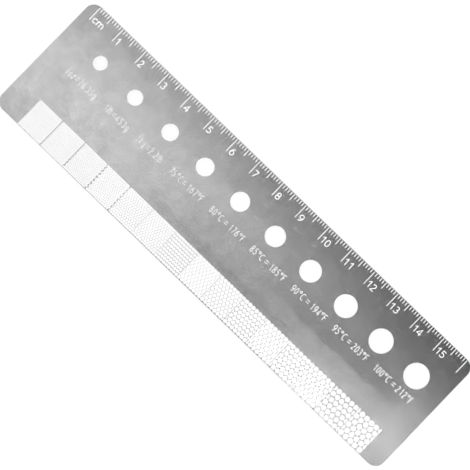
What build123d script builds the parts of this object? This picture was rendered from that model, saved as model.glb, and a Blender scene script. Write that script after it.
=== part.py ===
from build123d import *
import os

# Coffee grind gauge: one flat stainless steel plate, lying face up, all sizes in millimetres.
# +X runs along the ruler edge from zero upwards, +Y points to the ruler edge and +Z out of the marked face.
# The origin is the middle of the underside.

# Plate
plate_length = 166.5
plate_width = 44.9
plate_thickness = 1.0
corner_radius = 3.45
edge_break = 0.1
mark_depth = 0.05

# Ruler along the upper edge
zero_from_end = 3.3
ruler_millimetres = 160
tick_width = 0.27
tick_start = 0.2
centimetre_tick_end = 5.45
half_tick_end = 2.7
millimetre_tick_end = 1.42

# Screen holes, sized in sixty-fourths of an inch as coffee screens are
inch = 25.4
first_screen = 12
last_screen = 21
first_hole_from_zero = 12.15
hole_spacing = 15.53
hole_tops_from_edge = 10.63

# Strip of grind fields along the lower edge, finest field first
field_count = 15
field_length = 9.965
strip_from_zero = 6.5
strip_rim = 0.2
strip_height = 10.45
field_gap = 0.12

# Circles of the grind fields, in staggered rows
pitch_before_first = 0.375
pitch_step = 0.106
border_match = 0.33
widest_circle_gap = 0.16
gap_growth = 4
smallest_sliver = 0.35
circle_sides = 16
rows_of_sunk_circles = {13: 7, 14: 6, 15: 6}

# Places worked out from the driving sizes
top = plate_thickness
upper_edge = plate_width / 2
zero_x = -plate_length / 2 + zero_from_end
strip_left = zero_x + strip_from_zero
strip_bottom = -plate_width / 2 + strip_rim
strip_top = strip_bottom + strip_height


def blank():
    """The plate with four rounded corners and a light break along the rim of each face."""
    outline = RectangleRounded(plate_length, plate_width, corner_radius)
    body = extrude(outline, amount=plate_thickness)
    levels = body.faces().sort_by(Axis.Z)
    return chamfer(levels[0].edges() + levels[-1].edges(), length=edge_break)


def screen_hole(screen):
    """Cutter for the round hole of one coffee screen size. The tops of all holes are in one line."""
    step = screen - first_screen
    radius = screen * inch / 64 / 2
    x = zero_x + first_hole_from_zero + step * hole_spacing
    y = upper_edge - hole_tops_from_edge - radius
    return Pos(x, y, top / 2) * Cylinder(radius, 2 * top)


def tick(millimetre):
    """Outline of one graduation: long at each centimetre, middling at each half, short between."""
    end = millimetre_tick_end
    if millimetre % 10 == 0:
        end = centimetre_tick_end
    elif millimetre % 5 == 0:
        end = half_tick_end
    middle_y = upper_edge - (tick_start + end) / 2
    return Pos(zero_x + millimetre, middle_y) * Rectangle(tick_width, end - tick_start)


def field_panel(field):
    """Outline of one grind field, with half the gap to its neighbours left at each side."""
    middle_x = strip_left + (field - 0.5) * field_length
    middle_y = (strip_bottom + strip_top) / 2
    return Pos(middle_x, middle_y) * Rectangle(field_length - field_gap, strip_height)


def circle_pitch(field):
    """Distance between circle centres in a row.

    It is stretched a little where that lets both side borders pass through circle centres.
    """
    pitch = pitch_before_first + pitch_step * field
    half_pitches = 2 * field_length / pitch
    whole = round(half_pitches)
    return 2 * field_length / whole if abs(half_pitches - whole) < border_match else pitch


def field_circles(field, rows):
    """Outlines of one field's circles, cut off at its sides, each with a few flat sides."""
    pitch = circle_pitch(field)
    radius = (pitch - widest_circle_gap * (field / field_count) ** gap_growth) / 2
    row_step = (strip_height - 2 * radius) / (rows - 1)
    left = strip_left + (field - 1) * field_length
    panel = field_panel(field)
    window_left = left + field_gap / 2
    window_right = left + field_length - field_gap / 2
    outlines = []
    for row in range(rows):
        y = strip_top - radius - row * row_step
        x = left + (row % 2) * pitch / 2
        while x - radius < window_right - smallest_sliver:
            circle = Pos(x, y) * RegularPolygon(radius, circle_sides)
            inside = x - radius > window_left and x + radius < window_right
            outlines.append(circle if inside else circle & panel)
            x += pitch
    return outlines


def sunk(outlines):
    """Shallow flat-bottomed cutters under the marked face, one for each outline."""
    return [extrude(Pos(0, 0, top) * outline, amount=-mark_depth) for outline in outlines]


# Etched marks: the graduations, the finer fields as whole panels and the coarser ones circle by circle
graduations = [tick(millimetre) for millimetre in range(ruler_millimetres + 1)]
fields = range(1, field_count + 1)
panels = [field_panel(field) for field in fields if field not in rows_of_sunk_circles]
circles = []
for field, rows in rows_of_sunk_circles.items():
    circles += field_circles(field, rows)

# Gauge plate, one solid
holes = [screen_hole(screen) for screen in range(first_screen, last_screen + 1)]
gauge_plate = blank() - holes - sunk(graduations + panels + circles)

os.makedirs("parts", exist_ok=True)
export_step(gauge_plate, "parts/gauge_plate.step")
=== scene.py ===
import bmesh
import bpy
from math import ceil, cos, pi, radians, sin, sqrt
from mathutils import Matrix, Vector


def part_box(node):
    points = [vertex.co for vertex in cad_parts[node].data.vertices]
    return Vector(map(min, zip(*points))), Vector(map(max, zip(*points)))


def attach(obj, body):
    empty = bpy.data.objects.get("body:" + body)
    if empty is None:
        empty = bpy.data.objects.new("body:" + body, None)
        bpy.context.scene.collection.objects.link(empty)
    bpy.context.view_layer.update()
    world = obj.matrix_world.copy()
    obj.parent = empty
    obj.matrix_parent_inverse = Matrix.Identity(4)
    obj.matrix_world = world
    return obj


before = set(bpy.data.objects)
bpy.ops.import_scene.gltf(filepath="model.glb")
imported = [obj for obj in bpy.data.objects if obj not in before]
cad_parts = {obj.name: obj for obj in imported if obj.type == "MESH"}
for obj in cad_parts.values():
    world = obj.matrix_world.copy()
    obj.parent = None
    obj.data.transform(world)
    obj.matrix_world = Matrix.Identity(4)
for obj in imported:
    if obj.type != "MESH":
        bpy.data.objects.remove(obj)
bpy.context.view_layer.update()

# Coffee grind gauge: a satin steel plate, lying face up, whose etched marks are white.
# Lengths are in millimetres until mm turns them into Blender's metres.
mm = 0.001

# Plate, read from the frame
low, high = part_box("gauge_plate")
plate_left = low.x / mm
plate_right = high.x / mm
ruler_edge = high.y / mm
lower_edge = low.y / mm
face = high.z / mm

# Etched marks, filled with white to just over the face
mark_floor = face - 0.05
mark_top = face + 0.002
mark_root = 0.012
land_top = face - 0.010
land_overlap = 0.005

# Ruler
zero_x = plate_left + 3.3
ruler_millimetres = 160
tick_width = 0.27
tick_start = 0.2
centimetre_tick_end = 5.45
half_tick_end = 2.7
millimetre_tick_end = 1.42

# Strip of grind fields
field_count = 15
field_length = 9.965
strip_left = zero_x + 6.5
strip_bottom = lower_edge + 0.2
strip_height = 10.45
strip_top = strip_bottom + strip_height
field_gap = 0.12
pitch_before_first = 0.375
pitch_step = 0.106
border_match = 0.33
widest_circle_gap = 0.16
gap_growth = 4
smallest_circle_gap = 0.03
smallest_sliver = 0.35
rows_in_field = (25, 20, 17, 15, 13, 12, 10, 10, 9, 8, 8, 7, 7, 6, 6)
first_field_from_left = 12
last_sunk_panel = 12
spaced_field = 2
spaced_field_margin = 0.12


def new_object(name, bm):
    """Turns a bmesh in millimetres into an object in metres that rides on the plate."""
    bmesh.ops.scale(bm, vec=(mm, mm, mm), verts=bm.verts)
    bmesh.ops.recalc_face_normals(bm, faces=bm.faces)
    mesh = bpy.data.meshes.new(name)
    bm.to_mesh(mesh)
    bm.free()
    piece = bpy.data.objects.new(name, mesh)
    bpy.context.scene.collection.objects.link(piece)
    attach(piece, "root")
    return piece


def prism(bm, outline, bottom, top):
    """Closed upright prism over a convex outline, a list of (x, y)."""
    lower = [bm.verts.new((x, y, bottom)) for x, y in outline]
    upper = [bm.verts.new((x, y, top)) for x, y in outline]
    bm.faces.new(lower[::-1])
    bm.faces.new(upper)
    count = len(outline)
    for i in range(count):
        j = (i + 1) % count
        bm.faces.new((lower[i], lower[j], upper[j], upper[i]))


# Ruler graduations

def tick_end(millimetre):
    if millimetre % 10 == 0:
        return centimetre_tick_end
    if millimetre % 5 == 0:
        return half_tick_end
    return millimetre_tick_end


def ruler_ticks():
    bm = bmesh.new()
    for millimetre in range(ruler_millimetres + 1):
        x = zero_x + millimetre
        left, right = x - tick_width / 2, x + tick_width / 2
        upper, lower = ruler_edge - tick_start, ruler_edge - tick_end(millimetre)
        outline = [(left, lower), (right, lower), (right, upper), (left, upper)]
        prism(bm, outline, mark_floor - mark_root, mark_top)
    return new_object("ruler_ticks", bm)


# Grind fields

def circle_pitch(field):
    """Distance between circle centres in a row, stretched a little to suit both side borders."""
    pitch = pitch_before_first + pitch_step * field
    half_pitches = 2 * field_length / pitch
    whole = round(half_pitches)
    return 2 * field_length / whole if abs(half_pitches - whole) < border_match else pitch


def clipped_circle(x, y, radius, sides, left, right):
    """Outline of a circle, cut straight where it passes a side border of its field."""
    angles = [2 * pi * side / sides for side in range(sides)]
    points = [(x + radius * cos(angle), y + radius * sin(angle)) for angle in angles]
    for border, keep in ((left, 1), (right, -1)):
        kept = []
        for i, (px, py) in enumerate(points):
            qx, qy = points[(i + 1) % len(points)]
            p_in = keep * (px - border) >= 0
            q_in = keep * (qx - border) >= 0
            if p_in:
                kept.append((px, py))
            if p_in != q_in:
                share = (border - px) / (qx - px)
                kept.append((border, py + share * (qy - py)))
        points = kept
    return points


def field_window(field):
    """Left and right side of one field, with half the gap to its neighbours left at each side."""
    left = strip_left + (field - 1) * field_length
    return left + field_gap / 2, left + field_length - field_gap / 2


def field_lands():
    """Steel between the circles of the finer fields, whose panels are sunk as a whole in the plate."""
    bm = bmesh.new()
    for field in range(1, last_sunk_panel + 1):
        left, right = field_window(field)
        left, right = left - land_overlap, right + land_overlap
        bottom, top = strip_bottom - land_overlap, strip_top + land_overlap
        outline = [(left, bottom), (right, bottom), (right, top), (left, top)]
        prism(bm, outline, mark_floor - land_overlap, land_top)
    return new_object("field_lands", bm)


def grind_field(field):
    """One field's circles: staggered rows that fill the strip's height."""
    bm = bmesh.new()
    rows = rows_in_field[field - 1]
    pitch = circle_pitch(field)
    gap = max(smallest_circle_gap, widest_circle_gap * (field / field_count) ** gap_growth)
    radius = (pitch - gap) / 2
    row_step = (strip_height - 2 * radius) / (rows - 1)
    left, right = field_window(field)
    if field == spaced_field:
        left, right = left + spaced_field_margin, right - spaced_field_margin
    from_left = field >= first_field_from_left
    direction = 1 if from_left else -1
    origin = strip_left + (field - 1 if from_left else field) * field_length
    sides = 12 + field
    root = (land_top if field <= last_sunk_panel else mark_floor) - mark_root
    for row in range(rows):
        y = strip_top - radius - row * row_step
        for place in range(ceil(field_length / pitch) + 1):
            x = origin + direction * (place + row % 2 / 2) * pitch
            if min(x + radius, right) - max(x - radius, left) > smallest_sliver:
                prism(bm, clipped_circle(x, y, radius, sides, left, right), root, mark_top)
    return new_object(f"grind_circles_{field}", bm)


# Lettering: plain single-stroke letters with round ends. A letter's height is 1 and its parts are centre lines.

def arc(cx, cy, rx, ry, start, end, steps=14):
    points = []
    for i in range(steps + 1):
        angle = radians(start + (end - start) * i / steps)
        points.append((cx + rx * cos(angle), cy + ry * sin(angle)))
    return points


def ring(cx, cy, rx, ry, steps=24):
    """A closed round stroke. Its last point repeats the first."""
    return arc(cx, cy, rx, ry, 0, 360, steps)


small = 0.70
GLYPHS = {
    "0": (0.61, [ring(0.305, 0.5, 0.305, 0.5)]),
    "1": (0.31, [[(0.0, 0.76), (0.31, 1.0), (0.31, 0.0)]]),
    "2": (0.57, [arc(0.27, 0.73, 0.26, 0.27, 155, -28) + [(0.0, 0.0), (0.57, 0.0)]]),
    "3": (0.58, [arc(0.28, 0.755, 0.26, 0.245, 140, -80) + arc(0.27, 0.26, 0.31, 0.26, 80, -145)]),
    "4": (0.71, [[(0.53, 0.0), (0.53, 1.0), (0.0, 0.26), (0.71, 0.26)]]),
    "5": (0.58, [[(0.54, 1.0), (0.10, 1.0), (0.06, 0.54)] + arc(0.25, 0.31, 0.33, 0.31, 118, -142)]),
    "6": (0.62, [ring(0.31, 0.31, 0.31, 0.31), arc(0.60, 0.33, 0.60, 0.67, 98, 180)]),
    "7": (0.60, [[(0.0, 1.0), (0.60, 1.0), (0.20, 0.0)]]),
    "8": (0.62, [ring(0.31, 0.76, 0.26, 0.24), ring(0.31, 0.26, 0.31, 0.26)]),
    "9": (0.62, [ring(0.31, 0.69, 0.31, 0.31), arc(0.02, 0.67, 0.60, 0.67, 0, -82)]),
    "c": (0.56, [arc(0.35, small / 2, 0.35, small / 2, 52, 308)]),
    "m": (1.06, [
        [(0.0, 0.0), (0.0, small)],
        arc(0.265, small - 0.24, 0.265, 0.24, 180, 0) + [(0.53, 0.0)],
        arc(0.795, small - 0.24, 0.265, 0.24, 180, 0) + [(1.06, 0.0)],
    ]),
    "o": (0.56, [ring(0.28, small / 2, 0.28, small / 2)]),
    "z": (0.50, [[(0.0, small), (0.50, small), (0.0, 0.0), (0.50, 0.0)]]),
    "l": (0.0, [[(0.0, 0.0), (0.0, 1.04)]]),
    "b": (0.54, [[(0.0, 0.0), (0.0, 1.04)], ring(0.27, small / 2, 0.27, small / 2)]),
    "k": (0.50, [[(0.0, 0.0), (0.0, 1.04)], [(0.46, small), (0.02, 0.28)], [(0.16, 0.42), (0.50, 0.0)]]),
    "g": (0.54, [
        ring(0.27, small / 2, 0.27, small / 2),
        [(0.54, small), (0.54, -0.10)] + arc(0.27, -0.10, 0.27, 0.24, 0, -145),
    ]),
    "C": (0.77, [arc(0.48, 0.5, 0.48, 0.5, 54, 306)]),
    "F": (0.58, [[(0.58, 1.0), (0.0, 1.0), (0.0, 0.0)], [(0.0, 0.52), (0.50, 0.52)]]),
    "°": (0.54, [ring(0.27, 0.84, 0.27, 0.16, 16)]),
    "=": (0.85, [[(0.0, 0.69), (0.85, 0.69)], [(0.0, 0.34), (0.85, 0.34)]]),
    ".": (0.03, [[(0.0, 0.0), (0.03, 0.0)]]),
    " ": (0.0, []),
}


def bead(bm, points, width, height, base):
    """A low rounded ridge along a centre line, closed at both ends and half sunk in the face."""
    across_steps = 8
    half = width / 2
    spine = [Vector((x, y)) for x, y in points]
    closed = (spine[0] - spine[-1]).length < 1e-6
    if closed:
        spine.pop()
    count = len(spine)
    sections = []
    for i, here in enumerate(spine):
        before = spine[i - 1] if closed or i else None
        after = spine[(i + 1) % count] if closed or i < count - 1 else None
        into = (here - before).normalized() if before is not None else (after - here).normalized()
        out = (after - here).normalized() if after is not None else into
        along = (into + out).normalized()
        stretch = 1 / max((1 + into.dot(out)) / 2, 0.25) ** 0.5
        sections.append((here, along, half * stretch))
    if not closed:
        first, last = sections[0], sections[-1]
        cap = (0.5, 0.87)
        lead = [(first[0] - first[1] * half * c, first[1], half * sqrt(1 - c * c)) for c in cap[::-1]]
        tail = [(last[0] + last[1] * half * c, last[1], half * sqrt(1 - c * c)) for c in cap]
        sections = lead + sections + tail
    rings = []
    for here, along, reach in sections:
        side = Vector((-along.y, along.x))
        loop = []
        for step in range(across_steps):
            angle = 2 * pi * step / across_steps
            spot = here + side * reach * cos(angle)
            loop.append(bm.verts.new((spot.x, spot.y, base + height * sin(angle))))
        rings.append(loop)
    pairs = list(zip(rings, rings[1:]))
    if closed:
        pairs.append((rings[-1], rings[0]))
    for one, two in pairs:
        for step in range(across_steps):
            turn = (step + 1) % across_steps
            bm.faces.new((one[step], one[turn], two[turn], two[step]))
    if not closed:
        bm.faces.new(rings[0][::-1])
        bm.faces.new(rings[-1])


def side_room(letter):
    """Room at each side of a digit, which stands in the middle of a cell as wide as any other digit's."""
    return (digit_cell - GLYPHS[letter][0]) / 2 if letter.isdigit() else 0.0


def natural_width(text, gap):
    """Width of a line of text over its outer centre lines, for letters of height 1."""
    cells = sum(GLYPHS[letter][0] + 2 * side_room(letter) for letter in text)
    return cells + gap * (len(text) - 1) - side_room(text[0]) - side_room(text[-1])


def write(bm, text, left, right, top, bottom, stroke, gap):
    """Lays a line of text between two sides and two heights, measured over the outside of its strokes."""
    rise = top - bottom - stroke
    squeeze = (right - left - stroke) / natural_width(text, gap)
    pen = left + stroke / 2 - side_room(text[0]) * squeeze
    base = bottom + stroke / 2
    for letter in text:
        width, strokes = GLYPHS[letter]
        pen += side_room(letter) * squeeze
        for points in strokes:
            placed = [(pen + x * squeeze, base + y * rise) for x, y in points]
            bead(bm, placed, stroke, letter_rise, face)
        pen += (width + side_room(letter) + gap) * squeeze


digit_cell = 0.62
letter_rise = 0.012
number_stroke = 0.26
number_gap = 0.28
number_top = ruler_edge - 3.02
number_bottom = ruler_edge - 5.42


def ruler_lettering():
    """Numbers 1 to 15 right of their centimetre marks, and cm beside the zero mark."""
    bm = bmesh.new()
    write(bm, "cm", zero_x + 0.84, zero_x + 4.92, number_top, number_bottom, number_stroke, 0.30)
    rise = number_top - number_bottom - number_stroke
    for number in range(1, 16):
        text = str(number)
        left = zero_x + 10 * number + (0.85 if number < 10 else 0.75)
        width = natural_width(text, number_gap) * rise + number_stroke
        write(bm, text, left, left + width, number_top, number_bottom, number_stroke, number_gap)
    return new_object("ruler_numbers", bm)


text_stroke = 0.18
text_gap = 0.42
text_top = ruler_edge - 20.52
text_bottom = ruler_edge - 22.88
CONVERSIONS = (
    ("1oz=28.35g", 6.2, 18.6),
    ("1lb=453g", 22.9, 33.0),
    ("1kg=2.2lb", 36.9, 47.6),
    ("75°C= 167°F", 51.4, 65.35),
    ("80°C = 176°F", 69.0, 83.5),
    ("85°C = 185°F", 86.8, 101.3),
    ("90°C = 194°F", 104.65, 119.15),
    ("95°C = 203°F", 122.65, 137.15),
    ("100°C = 212°F", 140.45, 156.45),
)


def conversion_lettering():
    """Plain unit conversions between the holes and the strip."""
    bm = bmesh.new()
    for text, left, right in CONVERSIONS:
        write(bm, text, zero_x + left, zero_x + right, text_top, text_bottom, text_stroke, text_gap)
    return new_object("unit_conversions", bm)


# Materials

def material(name):
    made = bpy.data.materials.new(name)
    made.use_nodes = True
    nodes, links = made.node_tree.nodes, made.node_tree.links
    return made, nodes, links, nodes["Principled BSDF"]


def noise(nodes, links, scale, stretch=(1, 1, 1), detail=4.0, roughness=0.55):
    """Noise laid over the object's own place in metres, stretched along an axis by a small factor."""
    place = nodes.new("ShaderNodeTexCoord")
    mapping = nodes.new("ShaderNodeMapping")
    mapping.inputs["Scale"].default_value = stretch
    texture = nodes.new("ShaderNodeTexNoise")
    texture.inputs["Scale"].default_value = scale
    texture.inputs["Detail"].default_value = detail
    texture.inputs["Roughness"].default_value = roughness
    links.new(place.outputs["Object"], mapping.inputs["Vector"])
    links.new(mapping.outputs["Vector"], texture.inputs["Vector"])
    return texture.outputs["Fac"]


def spread(nodes, links, value, low_out, high_out, low_in=0.3, high_in=0.7):
    remap = nodes.new("ShaderNodeMapRange")
    remap.inputs["From Min"].default_value = low_in
    remap.inputs["From Max"].default_value = high_in
    remap.inputs["To Min"].default_value = low_out
    remap.inputs["To Max"].default_value = high_out
    links.new(value, remap.inputs["Value"])
    return remap.outputs["Result"]


def calculate(nodes, links, operation, one, two):
    """One sum or product of two values, of which the second may be a plain number."""
    node = nodes.new("ShaderNodeMath")
    node.operation = operation
    links.new(one, node.inputs[0])
    if isinstance(two, float):
        node.inputs[1].default_value = two
    else:
        links.new(two, node.inputs[1])
    return node.outputs["Value"]


def along_axis(nodes, links, axis):
    """The object's own place along one axis, in metres."""
    place = nodes.new("ShaderNodeTexCoord")
    axes = nodes.new("ShaderNodeSeparateXYZ")
    links.new(place.outputs["Object"], axes.inputs["Vector"])
    return axes.outputs[axis]


def ramp(nodes, links, value, start, end):
    """Smooth step from 0 to 1 while a value in metres goes from one place in millimetres to another."""
    remap = nodes.new("ShaderNodeMapRange")
    remap.interpolation_type = "SMOOTHSTEP"
    remap.inputs["From Min"].default_value = start * mm
    remap.inputs["From Max"].default_value = end * mm
    links.new(value, remap.inputs["Value"])
    return remap.outputs["Result"]


def blend_by(nodes, links, factor, one, two):
    mix = nodes.new("ShaderNodeMix")
    mix.data_type = "RGBA"
    mix.inputs["A"].default_value = (*one, 1)
    mix.inputs["B"].default_value = (*two, 1)
    links.new(factor, mix.inputs["Factor"])
    return mix.outputs["Result"]


def bump(nodes, links, height, distance, under=None):
    """Relief of one noise, in metres, laid over another relief where one is given."""
    node = nodes.new("ShaderNodeBump")
    node.inputs["Distance"].default_value = distance
    links.new(height, node.inputs["Height"])
    if under:
        links.new(under, node.inputs["Normal"])
    return node.outputs["Normal"]


# Painted reflection: lengthwise bands of painted shade, and one of painted highlight, that stand in for
# the edges of the lights' reflection in the steel. Each has a tone, two places from the ruler edge where it
# starts and is full, two where it is still full and ends, and four such places from the zero mark.
PAINTED_REFLECTION_BANDS = (
    (0.78, (15.0, 24.0, 24.4, 27.0), (92, 116, 147, 157)),
    (0.93, (28.8, 30.8, 31.4, 33.6), (48, 60, 100, 118)),
    (1.09, (10.0, 13.0, 17.0, 21.0), (45, 60, 85, 100)),
)
painted_band_waver = 0.0025


def streak(nodes, links, x, y, across, along):
    """How strong one band of painted reflection shade or highlight is, from 0 to 1."""
    start, full, still_full, end = [ruler_edge - place for place in across]
    first, last = ramp(nodes, links, y, start, full), ramp(nodes, links, y, end, still_full)
    strength = calculate(nodes, links, "MULTIPLY", first, last)
    start, full, still_full, end = [zero_x + place for place in along]
    first, last = ramp(nodes, links, x, start, full), ramp(nodes, links, x, end, still_full)
    strength = calculate(nodes, links, "MULTIPLY", strength, first)
    return calculate(nodes, links, "MULTIPLY", strength, last)


def satin_steel():
    """Rolled stainless steel: fine lengthwise grain, faint cloudy tone, bands of painted reflection shade and
    highlight, uneven sheen.
    """
    made, nodes, links, shader = material("satin_steel")
    shader.inputs["Metallic"].default_value = 1.0
    clouds = noise(nodes, links, 110, detail=5, roughness=0.95)
    tone = spread(nodes, links, clouds, 0.0, 1.0)
    colour = blend_by(nodes, links, tone, (0.55, 0.55, 0.55), (0.71, 0.71, 0.71))
    waver = calculate(nodes, links, "MULTIPLY", noise(nodes, links, 90, stretch=(0.4, 1, 1)), painted_band_waver)
    x = along_axis(nodes, links, "X")
    y = calculate(nodes, links, "ADD", along_axis(nodes, links, "Y"), waver)
    # Bands of painted shade and painted highlight, for the edges of the lights' reflection, multiplied into the
    # colour
    for level, across, along in PAINTED_REFLECTION_BANDS:
        painted_band_mix = nodes.new("ShaderNodeMix")
        painted_band_mix.data_type = "RGBA"
        painted_band_mix.blend_type = "MULTIPLY"
        painted_band_mix.inputs["B"].default_value = (level, level, level, 1)
        links.new(colour, painted_band_mix.inputs["A"])
        links.new(streak(nodes, links, x, y, across, along), painted_band_mix.inputs["Factor"])
        colour = painted_band_mix.outputs["Result"]
    links.new(colour, shader.inputs["Base Color"])
    grain = noise(nodes, links, 9000, stretch=(0.03, 1, 1), detail=2)
    sheen = spread(nodes, links, grain, 0.235, 0.275)
    links.new(sheen, shader.inputs["Roughness"])
    waves = bump(nodes, links, clouds, 0.000008)
    links.new(bump(nodes, links, grain, 0.0000006, waves), shader.inputs["Normal"])
    return made


def white_etch(name, dark, light):
    """Matt white etched metal, a little uneven."""
    made, nodes, links, shader = material(name)
    frost = noise(nodes, links, 3000, detail=3)
    tone = spread(nodes, links, frost, 0.0, 1.0)
    links.new(blend_by(nodes, links, tone, (dark,) * 3, (light,) * 3), shader.inputs["Base Color"])
    shader.inputs["Roughness"].default_value = 0.7
    links.new(bump(nodes, links, frost, 0.000002), shader.inputs["Normal"])
    return made


# The conversions' white is fainter towards zero
faint_white = 0.70
full_white = 0.95
faint_until = 50
full_from = 115


def fading_white():
    made, nodes, links, shader = material("fading_white")
    x = along_axis(nodes, links, "X")
    strength = ramp(nodes, links, x, zero_x + faint_until, zero_x + full_from)
    links.new(blend_by(nodes, links, strength, (faint_white,) * 3, (full_white,) * 3), shader.inputs["Base Color"])
    shader.inputs["Roughness"].default_value = 0.7
    frost = noise(nodes, links, 3000, detail=3)
    links.new(bump(nodes, links, frost, 0.000002), shader.inputs["Normal"])
    return made


def floor_paper():
    made, nodes, links, shader = material("floor_paper")
    fibre = noise(nodes, links, 900, detail=3)
    tone = spread(nodes, links, fibre, 0.0, 1.0)
    links.new(blend_by(nodes, links, tone, (0.38, 0.38, 0.38), (0.42, 0.42, 0.42)), shader.inputs["Base Color"])
    shader.inputs["Roughness"].default_value = 0.9
    shader.inputs["Emission Color"].default_value = (1, 1, 1, 1)
    shader.inputs["Emission Strength"].default_value = 0.6
    return made


# Dress the part
steel = satin_steel()
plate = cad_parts["gauge_plate"]
plate.data.materials.clear()
plate.data.materials.append(steel)
field_lands().data.materials.append(steel)

ruler_lettering().data.materials.append(white_etch("bright_white", 0.93, 0.97))
conversion_lettering().data.materials.append(fading_white())

frosted_white = white_etch("frosted_white", 0.77, 0.81)
ruler_ticks().data.materials.append(frosted_white)
for field in range(1, field_count + 1):
    grind_field(field).data.materials.append(frosted_white)


# Stage: a pale floor
def floor():
    bm = bmesh.new()
    bmesh.ops.create_grid(bm, x_segments=1, y_segments=1, size=3.0)
    mesh = bpy.data.meshes.new("floor")
    bm.to_mesh(mesh)
    bm.free()
    ground = bpy.data.objects.new("floor", mesh)
    bpy.context.scene.collection.objects.link(ground)
    ground.location.z = low.z - 0.00002
    mesh.materials.append(floor_paper())


floor()


# Lights: four softboxes over the plate, whose reflection shades the steel, and four at the sides

def softbox(name, centre, size, watts, aim):
    """A rectangular light with its longer size along X when it faces down."""
    data = bpy.data.lights.new(name, "AREA")
    data.shape = "RECTANGLE"
    data.size, data.size_y = size
    data.energy = watts
    lamp = bpy.data.objects.new(name, data)
    lamp.location = centre
    lamp.rotation_euler = (Vector(aim) - Vector(centre)).to_track_quat("-Z", "Y").to_euler()
    lamp.visible_camera = False
    bpy.context.scene.collection.objects.link(lamp)
    return lamp


def overhead(name, x, y, height, length, width, brightness):
    """A softbox that faces straight down. Its brightness is in watts per square metre and steradian."""
    watts = pi * length * width * brightness
    softbox(name, (x, y, height), (length, width), watts, (x, y, 0))


overhead("left_strip_light", -0.354, 0.0, 0.944, 0.582, 0.102, 1.60)
overhead("middle_strip_light", -0.057, 0.015, 0.358, 0.230, 0.014, 2.22)
overhead("right_strip_light", 0.109, -0.010, 0.260, 0.024, 0.012, 7.82)
overhead("lower_strip_light", 0.066, -0.034, 0.260, 0.032, 0.016, 8.77)

side_distance = 1.3
side_elevation = radians(28)
side_size = 0.7
side_watts = 9.75
for number, azimuth in enumerate((45, 135, 225, 315)):
    level = side_distance * cos(side_elevation)
    place = (level * cos(radians(azimuth)), level * sin(radians(azimuth)), side_distance * sin(side_elevation))
    softbox(f"side_light_{number}", place, (side_size, side_size), side_watts, (0, 0, 0))

# A pale horizon under a dark ceiling
horizon_strength = 0.79
ceiling_strength = 0.02
world = bpy.data.worlds.new("studio")
bpy.context.scene.world = world
world.use_nodes = True
sky, joins = world.node_tree.nodes, world.node_tree.links
backdrop = sky["Background"]
backdrop.inputs["Color"].default_value = (1, 1, 1, 1)
direction = sky.new("ShaderNodeTexCoord")
axes = sky.new("ShaderNodeSeparateXYZ")
fade = sky.new("ShaderNodeMapRange")
fade.interpolation_type = "SMOOTHSTEP"
fade.inputs["To Min"].default_value = horizon_strength
fade.inputs["To Max"].default_value = ceiling_strength
joins.new(direction.outputs["Generated"], axes.inputs["Vector"])
joins.new(axes.outputs["Z"], fade.inputs["Value"])
joins.new(fade.outputs["Result"], backdrop.inputs["Strength"])


# Camera, set by the ruler marks in the photograph
photo_side = 470
photo_pixels_per_mm = 3.1858
camera_distance = 600.0
camera_roll = radians(44.008)
camera_tilt = radians(2.531)
tilt_azimuth = radians(91.72)
aim_from_zero = 80.368
aim_from_ruler_edge = 22.483
sensor = 36.0


def add_camera():
    right = Vector((cos(camera_roll), sin(camera_roll), 0))
    down = Vector((sin(camera_roll), -cos(camera_roll), 0))
    up = Vector((0, 0, 1))
    toward = cos(tilt_azimuth) * right + sin(tilt_azimuth) * down
    across = -sin(tilt_azimuth) * right + cos(tilt_azimuth) * down
    back = sin(camera_tilt) * toward + cos(camera_tilt) * up
    slant = cos(camera_tilt) * toward - sin(camera_tilt) * up
    view_right = cos(tilt_azimuth) * slant - sin(tilt_azimuth) * across
    view_down = sin(tilt_azimuth) * slant + cos(tilt_azimuth) * across
    aim = Vector((zero_x + aim_from_zero, ruler_edge - aim_from_ruler_edge, face))
    place = (aim + back * camera_distance) * mm
    data = bpy.data.cameras.new("camera")
    data.sensor_width = sensor
    data.lens = sensor * photo_pixels_per_mm * camera_distance / photo_side
    data.clip_start = 0.01
    camera = bpy.data.objects.new("camera", data)
    turn = Matrix((view_right, -view_down, back)).transposed().to_4x4()
    camera.matrix_world = Matrix.Translation(place) @ turn
    bpy.context.scene.collection.objects.link(camera)
    bpy.context.scene.camera = camera


add_camera()
bpy.context.scene.view_settings.view_transform = "Standard"
